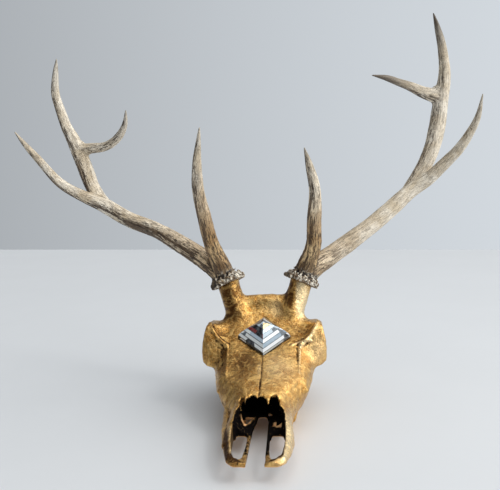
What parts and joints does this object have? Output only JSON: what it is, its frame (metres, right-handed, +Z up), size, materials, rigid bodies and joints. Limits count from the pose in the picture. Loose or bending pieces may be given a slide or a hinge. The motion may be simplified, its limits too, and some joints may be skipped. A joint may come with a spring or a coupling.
{
  "type": "deer antler skull",
  "caption": "Gilded stag skull without lower jaw, with both branching natural antlers and a stepped square crystal set on the forehead.",
  "frame": {"origin": "under the middle of the part's bounding box, on the surface on which the teeth rest", "axes": "+X to the viewer's right across the spread of the antlers, +Y from the muzzle back to the occiput, +Z up"},
  "size_m": [0.5186, 0.3172, 0.4193],
  "materials": {
    "gold_leaf": "antiqued gilding on bone, half matt, umber in the hollows",
    "gilded_teeth": "gilding worn thin over tooth enamel",
    "antler": "natural weathered antler, grooved, matt",
    "crystal": "clear step-cut crystal"
  },
  "bodies": {
    "root": {"braincase": "gold_leaf", "forehead": "gold_leaf", "face": "gold_leaf", "left_premaxilla": "gold_leaf", "right_premaxilla": "gold_leaf", "left_cheek": "gold_leaf", "right_cheek": "gold_leaf", "left_pedicle": "gold_leaf", "right_pedicle": "gold_leaf", "left_tooth_row": "gilded_teeth", "right_tooth_row": "gilded_teeth", "crystal": "crystal", "left_burr": "antler", "left_brow_tine": "antler", "left_beam": "antler", "left_trez_tine": "antler", "left_upper_beam": "antler", "left_inner_tine": "antler", "left_top_tine": "antler", "right_burr": "antler", "right_brow_tine": "antler", "right_beam": "antler", "right_trez_tine": "antler", "right_upper_beam": "antler", "right_inner_tine": "antler", "right_top_tine": "antler"}
  },
  "joints": []
}
